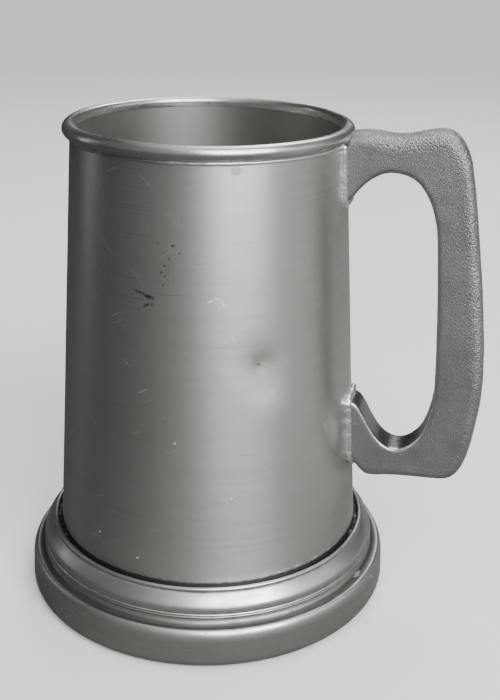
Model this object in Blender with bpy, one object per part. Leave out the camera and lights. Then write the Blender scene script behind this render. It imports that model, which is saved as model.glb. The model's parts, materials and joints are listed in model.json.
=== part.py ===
"""A one pint pewter tankard: a tapered sheet barrel with a half-round rim bead, a spun and
moulded foot, a pressed floor plate and a flat-sided cast handle, all joined by soft solder.

Run it with: blender --background --python part.py
Everything is in metres, +Z up. The tankard stands on Z = 0 and its handle points along +X.
The origin is the middle of the footprint of the whole object, handle included.
"""

import math

import bmesh
import bpy
from mathutils import Vector
from mathutils.geometry import interpolate_bezier

MM = 0.001

# Whole object
HEIGHT = 132.0 * MM  # table to the crown of the rim bead
JOINT_GAP = 0.3 * MM  # clearance at every soldered or seated face
SEGMENTS = 64  # facets round every turned piece

# Barrel: a straight taper, wider at the foot
BARREL_TOP_RADIUS = 35.3 * MM  # outer face, level with the crown of the rim
BARREL_FOOT_RADIUS = 42.5 * MM  # outer face, level with the foot's lip
BARREL_WALL = 1.1 * MM

# Rim bead: a ring of half-round moulding that sits over the top edge of the barrel
BEAD_DIAMETER = 3.8 * MM
BEAD_CENTRE_PROUD = 0.1 * MM  # the bead's centre stands this far outside the barrel's face
BEAD_SEAT_DEPTH = 2.5 * MM  # crown of the rim down to the barrel's top edge
BEAD_INNER_DROP = 1.3 * MM  # crown of the rim down to where its rounding meets the bore
BEAD_STEPS = 9

# Foot: one spinning, its mouldings listed from the table up
BAND_HEIGHT = 11.0 * MM
BAND_BULGE = 1.5 * MM  # the band's face stands this far outside its top arris
BASE_ROUNDING = 2.6 * MM  # where the band turns under on to the table
SHELF_WIDTH = 0.5 * MM  # flat between the band's arris and the cove
COVE_HEIGHT = 1.8 * MM
COVE_RUN = 2.0 * MM
ASTRAGAL_HEIGHT = 1.2 * MM  # the thin round line over the cove
ASTRAGAL_PROUD = 0.45 * MM
OVOLO_HEIGHT = 3.2 * MM
OVOLO_RUN = 2.3 * MM
NECK_HEIGHT = 1.2 * MM
NECK_RUN = 0.45 * MM
LIP_HEIGHT = 1.6 * MM
GROOVE_WIDTH = 1.25 * MM  # open groove between the barrel and the foot's lip
FOOT_WALL = 1.0 * MM

# Floor plate: a dish pressed in from below, its flange turned down
FLOOR_HEIGHT = 8.2 * MM  # table to the surface that holds the drink
FLOOR_THICKNESS = 1.2 * MM
FLANGE_DEPTH = 5.0 * MM
FLOOR_ROUNDING = 1.5 * MM

# Handle: a flat-sided casting
GRIP_THICKNESS = 9.6 * MM
GRIP_WIDTH = 12.4 * MM
FINGER_ROOM = 22.7 * MM  # barrel to grip, level with the top of the lower joint
HANDLE_RISE = 0.6 * MM  # the thumb crest's height above the rim
HANDLE_DIP = 1.8 * MM  # how far the top edge sinks between the rim and the crest
HANDLE_ABOVE_FOOT = 16.6 * MM  # clear height between the foot's lip and the handle
UPPER_ARM_DEPTH = 9.0 * MM
LOWER_ARM_DEPTH = 9.6 * MM
UPPER_JOINT_DROP = 19.4 * MM  # crown of the rim down to the toe of the upper joint
LOWER_JOINT_RISE = 23.4 * MM  # handle's underside up to the top of the lower joint
LOWER_HEEL_RISE = 7.4 * MM  # handle's underside up to the bottom of the lower joint
OUTER_ROUNDING = 2.6 * MM
INNER_ROUNDING = 0.8 * MM
HANDLE_STEPS = 5  # sections between two shape points

# Solder
SEAM_SPREAD = 0.8 * MM  # width of the fillet round each end of the handle
SEAM_HEIGHT = 0.7 * MM  # how far that fillet stands off the barrel
RIM_FILLET = 0.7 * MM
GROOVE_SOLDER_DEPTH = 1.6 * MM
GROOVE_SOLDER_RECESS = 1.4 * MM  # foot's lip down to the solder in the groove
BASE_SOLDER_RECESS = 0.4 * MM  # table up to the solder under the floor
BASE_SOLDER_TOE = 0.8 * MM

# Levels and radii that follow from the sizes above
ASTRAGAL_BASE = BAND_HEIGHT + COVE_HEIGHT
OVOLO_BASE = ASTRAGAL_BASE + ASTRAGAL_HEIGHT
NECK_BASE = OVOLO_BASE + OVOLO_HEIGHT
LIP_BASE = NECK_BASE + NECK_HEIGHT
FOOT_HEIGHT = LIP_BASE + LIP_HEIGHT

LIP_INNER = BARREL_FOOT_RADIUS + GROOVE_WIDTH
NECK_OUTER = LIP_INNER + FOOT_WALL
OVOLO_TOP = NECK_OUTER + NECK_RUN
COVE_INNER = OVOLO_TOP + OVOLO_RUN
SHELF_INNER = COVE_INNER + COVE_RUN
ARRIS = SHELF_INNER + SHELF_WIDTH
FOOT_RADIUS = ARRIS + BAND_BULGE

BEAD_RADIUS = BEAD_DIAMETER / 2
BEAD_LEVEL = HEIGHT - BEAD_RADIUS
BEAD_BOTTOM = HEIGHT - BEAD_DIAMETER
BARREL_TOP = HEIGHT - BEAD_SEAT_DEPTH
BARREL_BASE = FOOT_WALL + JOINT_GAP


def barrel_radius(level):
    """Radius of the barrel's outer face at a height above the table."""
    share = (level - FOOT_HEIGHT) / (HEIGHT - FOOT_HEIGHT)
    return BARREL_FOOT_RADIUS + share * (BARREL_TOP_RADIUS - BARREL_FOOT_RADIUS)


def bore_radius(level):
    """Radius of the barrel's inner face at a height above the table."""
    return barrel_radius(level) - BARREL_WALL


BEAD_CENTRE = barrel_radius(BEAD_LEVEL) + BEAD_CENTRE_PROUD
RIM_RADIUS = BEAD_CENTRE + BEAD_RADIUS
HEM_INNER = bore_radius(BARREL_BASE)

HANDLE_TOP = HEIGHT + HANDLE_RISE
HANDLE_BOTTOM = FOOT_HEIGHT + HANDLE_ABOVE_FOOT
UPPER_TOE = HEIGHT - UPPER_JOINT_DROP
LOWER_CROTCH = HANDLE_BOTTOM + LOWER_JOINT_RISE
LOWER_HEEL = HANDLE_BOTTOM + LOWER_HEEL_RISE
MID_GRIP = (UPPER_TOE + LOWER_CROTCH) / 2
GRIP_INNER = barrel_radius(LOWER_CROTCH) + FINGER_ROOM
HANDLE_BACK = GRIP_INNER + GRIP_WIDTH
AXIS_X = (FOOT_RADIUS - HANDLE_BACK) / 2  # the barrel's axis, with the footprint centred


def curve(centre, across, up, start, end, steps):
    """Points (radius, level) along an elliptical arc, from one angle in degrees to another."""
    points = []
    for i in range(steps + 1):
        angle = math.radians(start + (end - start) * i / steps)
        points.append((centre[0] + across * math.cos(angle), centre[1] + up * math.sin(angle)))
    return points


def material(name, colour, roughness):
    """A metal of one colour and roughness."""
    made = bpy.data.materials.new(name)
    made.use_nodes = True
    shader = made.node_tree.nodes["Principled BSDF"]
    shader.inputs["Base Color"].default_value = (*colour, 1.0)
    shader.inputs["Roughness"].default_value = roughness
    shader.inputs["Metallic"].default_value = 1.0
    return made


def add_object(name, bm, metal, parent):
    """Turns a bmesh into a named object that rides on parent."""
    bmesh.ops.recalc_face_normals(bm, faces=bm.faces)
    mesh = bpy.data.meshes.new(name)
    bm.to_mesh(mesh)
    bm.free()
    mesh.shade_smooth()
    mesh.set_sharp_from_angle(angle=math.radians(35))
    mesh.materials.append(metal)
    obj = bpy.data.objects.new(name, mesh)
    bpy.context.scene.collection.objects.link(obj)
    obj.parent = parent
    return obj


def turned(name, profile, metal, parent, open_angle=0.0):
    """Spins a closed profile of (radius, level) points round the barrel's axis.

    open_angle, in radians, leaves that much of the turn out, centred on the handle.
    """
    bm = bmesh.new()
    first = open_angle / 2
    verts = [bm.verts.new((r * math.cos(first), r * math.sin(first), z)) for r, z in profile]
    edges = [bm.edges.new(pair) for pair in zip(verts, verts[1:] + verts[:1])]
    spun = bmesh.ops.spin(
        bm,
        geom=verts + edges,
        cent=(0, 0, 0),
        axis=(0, 0, 1),
        angle=2 * math.pi - open_angle,
        steps=SEGMENTS,
        use_duplicate=False,
    )
    if open_angle:
        bm.faces.new(verts)
        bm.faces.new([v for v in spun["geom_last"] if isinstance(v, bmesh.types.BMVert)])
    bmesh.ops.remove_doubles(bm, verts=bm.verts, dist=0.001 * MM)
    bmesh.ops.dissolve_degenerate(bm, edges=bm.edges, dist=0.001 * MM)
    return add_object(name, bm, metal, parent)


def cutter(obj):
    """Hides a helper shape that only cuts others."""
    obj.hide_render = True
    obj.display_type = "WIRE"
    return obj


def combine(obj, other, operation):
    """Adds an exact Boolean with another object."""
    boolean = obj.modifiers.new(operation.title(), "BOOLEAN")
    boolean.operation = operation
    boolean.object = other
    boolean.solver = "EXACT"


def make_barrel(metal, parent):
    """The tapered tube, open at both ends. It stands on the foot's turned-in hem."""
    profile = [
        (barrel_radius(BARREL_BASE), BARREL_BASE),
        (barrel_radius(BARREL_TOP), BARREL_TOP),
        (bore_radius(BARREL_TOP), BARREL_TOP),
        (bore_radius(BARREL_BASE), BARREL_BASE),
    ]
    return turned("barrel", profile, metal, parent)


def make_rim_bead(metal, parent):
    """The rim bead: round outside, flush with the bore, and rebated to cap the barrel's edge."""
    seat = BARREL_TOP + JOINT_GAP
    rebate = barrel_radius(BEAD_BOTTOM) + JOINT_GAP
    flush = bore_radius(BARREL_TOP)
    skirt = math.degrees(math.acos((rebate - BEAD_CENTRE) / BEAD_RADIUS))
    outside = curve((BEAD_CENTRE, BEAD_LEVEL), BEAD_RADIUS, BEAD_RADIUS, -skirt, 90, BEAD_STEPS)
    inner_centre = (BEAD_CENTRE, HEIGHT - BEAD_INNER_DROP)
    inside = curve(inner_centre, BEAD_CENTRE - flush, BEAD_INNER_DROP, 90, 180, BEAD_STEPS // 2)
    profile = [(rebate, seat), *outside, *inside[1:], (flush, seat)]
    return turned("rim_bead", profile, metal, parent)


def make_rim_solder(metal, parent):
    """The fillet under the bead, left out where the handle meets the barrel."""
    top = BEAD_BOTTOM - JOINT_GAP
    toe = top - RIM_FILLET
    inner = barrel_radius(top) + JOINT_GAP
    profile = [
        (inner, top),
        (barrel_radius(toe) + JOINT_GAP, toe),
        (inner + RIM_FILLET / 3, top - RIM_FILLET / 3),
        (inner + RIM_FILLET, top),
    ]
    half_width = GRIP_THICKNESS / 2 + JOINT_GAP + SEAM_SPREAD + JOINT_GAP
    opening = 2 * math.asin(half_width / inner)
    return turned("rim_solder", profile, metal, parent, open_angle=opening)


def foot_section():
    """The foot's section: the moulded outside from the hem up, then the plain inside down."""
    base = curve(
        (FOOT_RADIUS - BASE_ROUNDING, BASE_ROUNDING), BASE_ROUNDING, BASE_ROUNDING, -90, 0, 3
    )
    band = curve((ARRIS, BASE_ROUNDING), BAND_BULGE, BAND_HEIGHT - BASE_ROUNDING, 0, 90, 5)
    cove = curve((SHELF_INNER, ASTRAGAL_BASE), COVE_RUN, COVE_HEIGHT, 270, 180, 4)
    astragal = [
        (COVE_INNER + ASTRAGAL_PROUD, ASTRAGAL_BASE + ASTRAGAL_HEIGHT / 3),
        (COVE_INNER + ASTRAGAL_PROUD, ASTRAGAL_BASE + ASTRAGAL_HEIGHT * 2 / 3),
    ]
    ovolo = curve((OVOLO_TOP, OVOLO_BASE), OVOLO_RUN, OVOLO_HEIGHT, 0, 90, 4)
    crown = FOOT_WALL / 2
    lip = curve((LIP_INNER + crown, FOOT_HEIGHT - crown), crown, crown, 0, 180, 6)
    inside = [
        (LIP_INNER, NECK_BASE - FOOT_WALL),
        (COVE_INNER - FOOT_WALL, OVOLO_BASE - FOOT_WALL),
        (COVE_INNER - FOOT_WALL, BAND_HEIGHT - FOOT_WALL),
        (ARRIS - FOOT_WALL, BAND_HEIGHT - FOOT_WALL),
        (FOOT_RADIUS - FOOT_WALL, BASE_ROUNDING),
        (FOOT_RADIUS - BASE_ROUNDING, FOOT_WALL),
        (HEM_INNER, FOOT_WALL),
    ]
    neck = [(NECK_OUTER, LIP_BASE)]
    return [(HEM_INNER, 0.0), *base, *band[1:], *cove, *astragal, *ovolo, *neck, *lip, *inside]


def make_foot(metal, parent):
    """The hollow moulded foot, with its lower edge turned in to carry the barrel."""
    return turned("foot", foot_section(), metal, parent)


def make_foot_solder(metal, parent):
    """The solder that lies down in the groove between the barrel and the foot's lip."""
    top = FOOT_HEIGHT - GROOVE_SOLDER_RECESS
    bottom = top - GROOVE_SOLDER_DEPTH
    outer = LIP_INNER - JOINT_GAP
    profile = [
        (barrel_radius(bottom) + JOINT_GAP, bottom),
        (outer, bottom),
        (outer, top),
        (barrel_radius(top) + JOINT_GAP, top),
    ]
    return turned("foot_solder", profile, metal, parent)


def make_floor_plate(metal, parent):
    """The pressed dish that closes the barrel: a flat plate with its flange turned down."""
    low = FLOOR_HEIGHT - FLANGE_DEPTH
    shoulder = FLOOR_HEIGHT - FLOOR_ROUNDING
    underside = FLOOR_HEIGHT - FLOOR_THICKNESS
    outer = bore_radius(shoulder) - JOINT_GAP
    rounding = curve(
        (outer - FLOOR_ROUNDING, shoulder), FLOOR_ROUNDING, FLOOR_ROUNDING, 0, 90, 4
    )
    profile = [
        (0.0, underside),
        (outer - FLOOR_THICKNESS, underside),
        (bore_radius(low) - JOINT_GAP - FLOOR_THICKNESS, low),
        (bore_radius(low) - JOINT_GAP, low),
        *rounding,
        (0.0, FLOOR_HEIGHT),
    ]
    return turned("floor_plate", profile, metal, parent)


def make_base_solder(metal, parent):
    """The ring that joins the floor plate's flange, the barrel and the foot's hem from below."""
    top = FLOOR_HEIGHT - FLANGE_DEPTH - JOINT_GAP
    outer_top = bore_radius(top) - JOINT_GAP
    outer_low = HEM_INNER - JOINT_GAP
    profile = [
        (outer_low - BASE_SOLDER_TOE, BASE_SOLDER_RECESS),
        (outer_low, BASE_SOLDER_RECESS),
        (outer_top, top),
        (outer_top - FLOOR_THICKNESS, top),
    ]
    return turned("base_solder", profile, metal, parent)


def knot(radius, level, out, up, leave_out, leave_up):
    """A shape point, in millimetres out and up from a radius and a level, with the Bezier
    handle that leaves it. The handle that arrives mirrors the one that leaves."""
    return (radius + out * MM, level + up * MM), (leave_out * MM, leave_up * MM)


def handle_edges():
    """The shape points of the handle's outer and inner edge, from the rim down to the heel.

    Both edges start and end inside the barrel, where the ends of the casting are cut off.
    """
    wall_up = barrel_radius(UPPER_TOE)
    wall_low = barrel_radius(LOWER_CROTCH)
    sag = HANDLE_TOP - HANDLE_DIP
    outer = [
        knot(wall_up, HANDLE_TOP, -3, -4, 2, 2),
        knot(RIM_RADIUS, HANDLE_TOP, 4, -1.3, 3, 0),
        knot(RIM_RADIUS, sag, 11.5, -0.1, 3.5, 0),
        knot(HANDLE_BACK, HANDLE_TOP, -15.1, 0, 3.2, 0),
        knot(HANDLE_BACK, HANDLE_TOP, -7.9, -8.4, 1.4, -4.6),
        knot(HANDLE_BACK, HANDLE_BOTTOM, 0, 31, 0, -11),
        knot(HANDLE_BACK, HANDLE_BOTTOM, -2.8, 7.4, -0.9, -3),
        knot(HANDLE_BACK, HANDLE_BOTTOM, -8.4, 1.6, -3, 0),
        knot(wall_low, HANDLE_BOTTOM, 13.4, 0.9, -4, -0.4),
        knot(wall_low, HANDLE_BOTTOM, 5.4, 0.6, -1.5, 1),
        knot(wall_low, LOWER_HEEL, -3, 3, -2, 2.6),
    ]
    inner = [
        knot(wall_up, UPPER_TOE, -4, 0, 2, 0),
        knot(wall_up, UPPER_TOE, 2.1, 2.6, 1.3, 2),
        knot(wall_up, sag - UPPER_ARM_DEPTH, 11, 0, 3.6, 0),
        knot(GRIP_INNER, HANDLE_TOP, -6.4, -14.9, 2, -3.2),
        knot(GRIP_INNER, HANDLE_TOP, -2.8, -24, 0.9, -4.2),
        knot(GRIP_INNER, HANDLE_BOTTOM, 0, 29, 0, -6.5),
        knot(GRIP_INNER, HANDLE_BOTTOM, -3.6, 13.2, -1.9, -2.2),
        knot(GRIP_INNER, HANDLE_BOTTOM, -9.6, LOWER_ARM_DEPTH / MM, -2.6, 0),
        knot(wall_low, LOWER_CROTCH, 6.5, -8.4, -1.4, 2.4),
        knot(wall_low, LOWER_CROTCH, 2.5, -1.8, -1.2, 1.1),
        knot(wall_low, LOWER_CROTCH, -4, 0, -2, 0),
    ]
    return outer, inner


def smooth_line(knots):
    """Points along one long edge, HANDLE_STEPS of them from each shape point to the next."""
    line = []
    for (start, leave), (end, arrive) in zip(knots, knots[1:]):
        a = Vector(start)
        b = Vector(end)
        span = interpolate_bezier(a, a + Vector(leave), b - Vector(arrive), b, HANDLE_STEPS + 1)
        line += span[:-1]
    line.append(Vector(knots[-1][0]))
    return line


def handle_ring(outer, inner, grow):
    """One cross-section, grown by grow all round. Its outer corners are the rounder ones."""
    across = (outer - inner).normalized()
    half = GRIP_THICKNESS / 2 + grow
    corners = [
        (outer, across, OUTER_ROUNDING, 1, 0, 90, 3),
        (outer, across, OUTER_ROUNDING, -1, 90, 0, 3),
        (inner, -across, INNER_ROUNDING, -1, 0, 90, 2),
        (inner, -across, INNER_ROUNDING, 1, 90, 0, 2),
    ]
    ring = []
    for edge, outwards, rounding, side, start, end, steps in corners:
        radius = rounding + grow
        for i in range(steps + 1):
            angle = math.radians(start + (end - start) * i / steps)
            point = edge + outwards * (grow - radius * (1 - math.sin(angle)))
            ring.append((point.x, side * (half - radius * (1 - math.cos(angle))), point.y))
    return ring


def handle_body(name, grow, metal, parent):
    """The handle before its ends are cut: cross-sections bridged along its two long edges."""
    outer, inner = handle_edges()
    bm = bmesh.new()
    rings = [
        [bm.verts.new(point) for point in handle_ring(o, i, grow)]
        for o, i in zip(smooth_line(outer), smooth_line(inner))
    ]
    for before, after in zip(rings, rings[1:]):
        for j, vert in enumerate(before):
            k = (j + 1) % len(before)
            bm.faces.new((vert, before[k], after[k], after[j]))
    bm.faces.new(rings[0])
    bm.faces.new(rings[-1])
    return add_object(name, bm, metal, parent)


def make_handle(metal, parent):
    """The casting, its ends cut to stand clear of the barrel and the rim bead."""
    reach = BEAD_RADIUS + JOINT_GAP
    under_bead = BEAD_LEVEL - reach
    wall = barrel_radius(under_bead) + JOINT_GAP
    skirt = math.degrees(math.acos((wall - BEAD_CENTRE) / reach))
    profile = [
        (0.0, FOOT_HEIGHT),
        (barrel_radius(FOOT_HEIGHT) + JOINT_GAP, FOOT_HEIGHT),
        (wall, under_bead),
        *curve((BEAD_CENTRE, BEAD_LEVEL), reach, reach, -skirt, 90, BEAD_STEPS),
        (0.0, HEIGHT + JOINT_GAP),
    ]
    handle = handle_body("handle", 0.0, metal, parent)
    combine(handle, cutter(turned("handle_end_cutter", profile, metal, parent)), "DIFFERENCE")
    return handle


def make_handle_solder(name, low, high, metal, parent):
    """The fillet round one end of the handle, between two heights on the barrel."""
    near = JOINT_GAP
    far = JOINT_GAP + SEAM_HEIGHT
    shell = [
        (barrel_radius(low) + near, low),
        (barrel_radius(low) + far, low),
        (barrel_radius(high) + far, high),
        (barrel_radius(high) + near, high),
    ]
    solder = handle_body(name, JOINT_GAP + SEAM_SPREAD, metal, parent)
    combine(solder, cutter(turned(name + "_shell", shell, metal, parent)), "INTERSECT")
    clearance = handle_body(name + "_clearance", JOINT_GAP, metal, parent)
    combine(solder, cutter(clearance), "DIFFERENCE")
    return solder


def main():
    for obj in list(bpy.data.objects):
        bpy.data.objects.remove(obj)
    axis = bpy.data.objects.new("axis", None)
    axis.location = (AXIS_X, 0, 0)
    bpy.context.scene.collection.objects.link(axis)

    make_barrel(material("brushed_pewter", (0.44, 0.43, 0.41), 0.38), axis)
    make_rim_bead(material("polished_rim", (0.50, 0.49, 0.47), 0.28), axis)
    make_foot(material("polished_foot", (0.48, 0.47, 0.45), 0.30), axis)
    make_floor_plate(material("satin_floor", (0.42, 0.42, 0.39), 0.42), axis)
    make_handle(material("cast_handle", (0.36, 0.355, 0.345), 0.50), axis)
    make_rim_solder(material("rim_solder", (0.72, 0.72, 0.70), 0.34), axis)
    make_foot_solder(material("groove_solder", (0.30, 0.31, 0.31), 0.45), axis)
    make_base_solder(material("base_solder", (0.55, 0.55, 0.54), 0.40), axis)
    upper_seam = material("upper_seam", (0.74, 0.74, 0.73), 0.34)
    lower_seam = material("lower_seam", (0.70, 0.71, 0.70), 0.36)
    bead_clearance = BEAD_BOTTOM - JOINT_GAP
    make_handle_solder("handle_upper_solder", MID_GRIP, bead_clearance, upper_seam, axis)
    make_handle_solder("handle_lower_solder", FOOT_HEIGHT, MID_GRIP, lower_seam, axis)


if __name__ == "__main__":
    main()
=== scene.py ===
"""Makes the looks of a one pint pewter tankard round its fixed frame: the turned barrel, bead and
foot, the cast handle, the solder that joins them, their finishes, and a plain pale studio.

Everything is in metres, +Z up. The tankard stands on Z = 0 and its handle points along +X.
"""

import json
import math

import bpy
from mathutils import Matrix, Vector, kdtree

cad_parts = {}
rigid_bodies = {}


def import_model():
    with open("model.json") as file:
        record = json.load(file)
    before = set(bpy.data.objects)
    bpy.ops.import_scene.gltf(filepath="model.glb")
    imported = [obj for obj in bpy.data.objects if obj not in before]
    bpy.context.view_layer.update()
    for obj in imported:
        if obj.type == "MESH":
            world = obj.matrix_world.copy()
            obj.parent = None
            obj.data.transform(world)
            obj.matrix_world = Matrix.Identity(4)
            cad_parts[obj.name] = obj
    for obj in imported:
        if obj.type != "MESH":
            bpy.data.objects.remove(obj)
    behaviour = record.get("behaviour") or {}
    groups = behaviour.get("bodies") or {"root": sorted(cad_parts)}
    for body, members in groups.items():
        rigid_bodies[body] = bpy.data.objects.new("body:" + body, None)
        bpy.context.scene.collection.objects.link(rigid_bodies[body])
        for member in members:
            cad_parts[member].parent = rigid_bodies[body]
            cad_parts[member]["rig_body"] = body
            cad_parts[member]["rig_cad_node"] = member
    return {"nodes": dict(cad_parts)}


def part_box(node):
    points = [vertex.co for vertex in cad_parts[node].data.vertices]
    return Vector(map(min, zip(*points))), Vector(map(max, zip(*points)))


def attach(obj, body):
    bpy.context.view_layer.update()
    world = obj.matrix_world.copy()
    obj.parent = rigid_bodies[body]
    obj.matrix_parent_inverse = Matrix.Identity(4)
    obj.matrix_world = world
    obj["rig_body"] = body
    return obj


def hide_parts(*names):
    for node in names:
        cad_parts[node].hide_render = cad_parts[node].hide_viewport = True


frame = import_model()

bl_info = {
    "name": "Pewter Tankard",
    "version": (1, 0, 0),
    "blender": (4, 5, 0),
    "location": "3D View > Sidebar > Tankard",
    "description": "Builds a pewter tankard's visible pieces, finishes and studio round its frame",
    "category": "Add Mesh",
}

MM = 0.001

# Where the fixed pieces are
BARREL_LOW, BARREL_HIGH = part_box("barrel")
BEAD_LOW, BEAD_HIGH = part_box("rim_bead")
FOOT_LOW, FOOT_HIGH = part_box("foot")
PLATE_LOW, PLATE_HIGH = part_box("floor_plate")
GROOVE_LOW, GROOVE_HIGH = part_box("foot_solder")
BASE_RING_LOW, BASE_RING_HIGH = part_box("base_solder")
FILLET_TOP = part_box("rim_solder")[1].z
HANDLE_LOW, HANDLE_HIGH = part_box("handle")
AXIS_X = (BARREL_LOW.x + BARREL_HIGH.x) / 2

MERGE = 0.001 * MM  # points nearer than this are one point
SNUG = 0.05 * MM  # left between two pieces that all but touch
BITE = 0.1 * MM  # how far solder runs into the metal beside it
GROOVE_GAP = 0.3 * MM  # from the groove's solder to the foot's lip


def from_barrel_axis(point):
    """Level distance of a point from the barrel's axis."""
    return math.hypot(point.x - AXIS_X, point.y)


def ring_radii(node, level):
    """Smallest and largest distance from the axis of a frame piece's points at one level."""
    points = (vert.co for vert in frame["nodes"][node].data.vertices)
    found = [from_barrel_axis(point) for point in points if abs(point.z - level) < SNUG]
    return min(found), max(found)


BARREL_INNER_LOW, BARREL_OUTER_LOW = ring_radii("barrel", BARREL_LOW.z)
BARREL_OUTER_HIGH = ring_radii("barrel", BARREL_HIGH.z)[1]
BARREL_WALL = BARREL_OUTER_LOW - BARREL_INNER_LOW
LIP_INNER = GROOVE_HIGH.x - AXIS_X + GROOVE_GAP
HEM_INNER = ring_radii("foot", FOOT_LOW.z)[0]
BEAD_RADIUS_OUT = BEAD_HIGH.x - AXIS_X
FOOT_RADIUS = FOOT_HIGH.x - AXIS_X


def barrel_radius(level):
    """Radius of the barrel's outer face at a height above the table."""
    way_up = (level - BARREL_LOW.z) / (BARREL_HIGH.z - BARREL_LOW.z)
    return BARREL_OUTER_LOW + way_up * (BARREL_OUTER_HIGH - BARREL_OUTER_LOW)


def bore_radius(level):
    """Radius of the barrel's inner face at a height above the table."""
    return barrel_radius(level) - BARREL_WALL


def length(name, default, description):
    """A size in metres that a user can change."""
    return bpy.props.FloatProperty(
        name=name, default=default, description=description, unit="LENGTH", precision=5, min=0.0
    )


def share(name, default, description):
    """A number from 0 to 1 that a user can change."""
    return bpy.props.FloatProperty(
        name=name, default=default, description=description, subtype="FACTOR", min=0.0, max=1.0
    )


def colour(name, default, description):
    """A linear colour that a user can change."""
    return bpy.props.FloatVectorProperty(
        name=name, default=default, description=description, subtype="COLOR", size=3, min=0, max=1
    )


def angle(name, degrees, description):
    """An angle that a user can change."""
    return bpy.props.FloatProperty(
        name=name, default=math.radians(degrees), description=description, subtype="ANGLE"
    )


def count(name, default, description):
    """A whole number that a user can change."""
    return bpy.props.IntProperty(name=name, default=default, description=description, min=8)


def strength(name, default, description):
    """A light's power in watts, or a brightness, that a user can change."""
    return bpy.props.FloatProperty(name=name, default=default, description=description, min=0.0)


class TankardSizes(bpy.types.PropertyGroup):
    """Sizes of the visible pieces."""

    sides: count("Sides", 256, "Facets round each turned piece")
    barrel_rows: count("Barrel rows", 104, "Rows of facets up the barrel")
    wall: length("Barrel wall", BARREL_WALL, "Thickness of the barrel's sheet")
    dent_depth: length("Dent depth", 0.42 * MM, "How far the knock in the barrel goes in")
    dent_spread: length("Dent spread", 11.0 * MM, "How far from its middle the knock is felt")
    bead: length("Bead diameter", BEAD_HIGH.z - BEAD_LOW.z, "Height of the rim's round bead")
    bead_inner_drop: length("Bead inner drop", 1.3 * MM, "Crown down to the bore's straight wall")
    band_height: length("Band height", 11.0 * MM, "Table to the top arris of the foot's band")
    band_bulge: length("Band bulge", 1.5 * MM, "How far the band's face swells past its arris")
    base_rounding: length("Base rounding", 2.6 * MM, "Radius where the band turns under")
    band_shoulder: length("Band shoulder", 3.4 * MM, "Height of the round at the band's top")
    shelf: length("Shelf", 0.5 * MM, "Flat between the band's arris and the cove")
    cove_height: length("Cove height", 2.0 * MM, "Height of the hollow moulding")
    cove_run: length("Cove run", 2.0 * MM, "Width of the hollow moulding")
    astragal_height: length("Astragal height", 1.3 * MM, "Height of the two thin round lines")
    astragal_proud: length("Astragal proud", 0.35 * MM, "How far the thin lines stand out")
    ovolo_height: length("Ovolo height", 4.4 * MM, "Height of the foot's upper swelling")
    ovolo_run: length("Ovolo run", 2.3 * MM, "Width of the foot's upper swelling")
    ovolo_foot: length("Ovolo foot", 0.6 * MM, "Upright part at the swelling's foot")
    ovolo_round: length("Ovolo round", 2.6 * MM, "Radius at the swelling's turn")
    neck_height: length("Neck height", 0.3 * MM, "Height of the nick under the lip")
    lip: length("Lip", 1.1 * MM, "Height of the foot's rolled lip")
    foot_wall: length("Foot wall", 1.0 * MM, "Thickness of the foot's sheet")
    plate: length("Floor thickness", 1.2 * MM, "Thickness of the floor plate")
    plate_rounding: length("Floor rounding", 1.5 * MM, "Radius round the floor's edge")
    cast_grain: length("Cast grain", 0.42 * MM, "Spacing of the mesh that carries the grain")
    grain_depth: length("Grain depth", 0.24 * MM, "Height of the casting's pebbled edge")
    solder_grain: length("Solder grain", 0.18 * MM, "Spacing of the mesh of the seams")
    rim_solder: length("Rim solder", 0.62 * MM, "Width of the solder under the rim's bead")
    solder_lumps: length("Solder lumps", 0.30 * MM, "How uneven the solder is")


class TankardFinish(bpy.types.PropertyGroup):
    """Colours and roughness of the metals."""

    pewter: colour("Pewter", (0.60, 0.595, 0.57), "Clean worked pewter")
    bore: colour("Bore", (0.40, 0.405, 0.385), "The barrel's unpolished inside")
    tarnish: colour("Tarnish", (0.30, 0.295, 0.275), "Pewter that has dulled")
    dirt: colour("Dirt", (0.045, 0.045, 0.042), "Old polish and dirt in hollows and pits")
    dust: colour("Dust", (0.55, 0.53, 0.5), "Dust that lies on what faces up")
    casting: colour("Casting", (0.28, 0.28, 0.275), "The handle's matt skin")
    solder: colour("Solder", (0.82, 0.82, 0.81), "Bright soft solder")
    barrel_roughness: share("Barrel roughness", 0.42, "Roughness across the turned lines")
    barrel_brushing: share("Barrel brushing", 0.64, "How far the lines draw a highlight out")
    polish_roughness: share("Polish roughness", 0.26, "Roughness of the bead and foot")
    casting_roughness: share("Casting roughness", 0.50, "Roughness of the handle's sides")


class TankardStudio(bpy.types.PropertyGroup):
    """The floor, the lights and the camera."""

    floor_size: length("Floor size", 9.0, "Width of the floor")
    floor: colour("Floor", (0.68, 0.67, 0.655), "The pale floor")
    backdrop: colour("Backdrop", (0.80, 0.80, 0.79), "The pale room behind the floor")
    floor_in_metal: share("Floor in metal", 0.09, "How much of the floor shows in the metal")
    key: strength("Key light", 23.0, "Power of the large soft light, in front to the right")
    side: strength("Side light", 1.1, "Power of the soft light on the handle's side")
    top: strength("Top light", 3.6, "Power of the broad soft light overhead")
    rear: strength("Rear light", 9.0, "Power of the soft light behind the barrel")
    strip: strength("Strip light", 0.14, "Power of the narrow light on the left")
    room: strength("Room light", 0.16, "Brightness of the room in the metal")
    camera_turn: angle("Camera turn", 15.0, "Camera's place round the barrel, from the front")
    camera_reach: length("Camera reach", 275.6 * MM, "Camera to the barrel's axis, level")
    camera_height: length("Camera height", 179.75 * MM, "Camera above the table")
    camera_heading: angle("Camera heading", 12.62, "Way the camera looks, from straight ahead")
    camera_tilt: angle("Camera tilt", 67.95, "Camera's tilt up from straight down")
    camera_roll: angle("Camera roll", 0.95, "Camera's lean")
    lens: bpy.props.FloatProperty(
        name="Lens", default=54.89, description="Focal length in millimetres", min=1.0
    )


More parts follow.
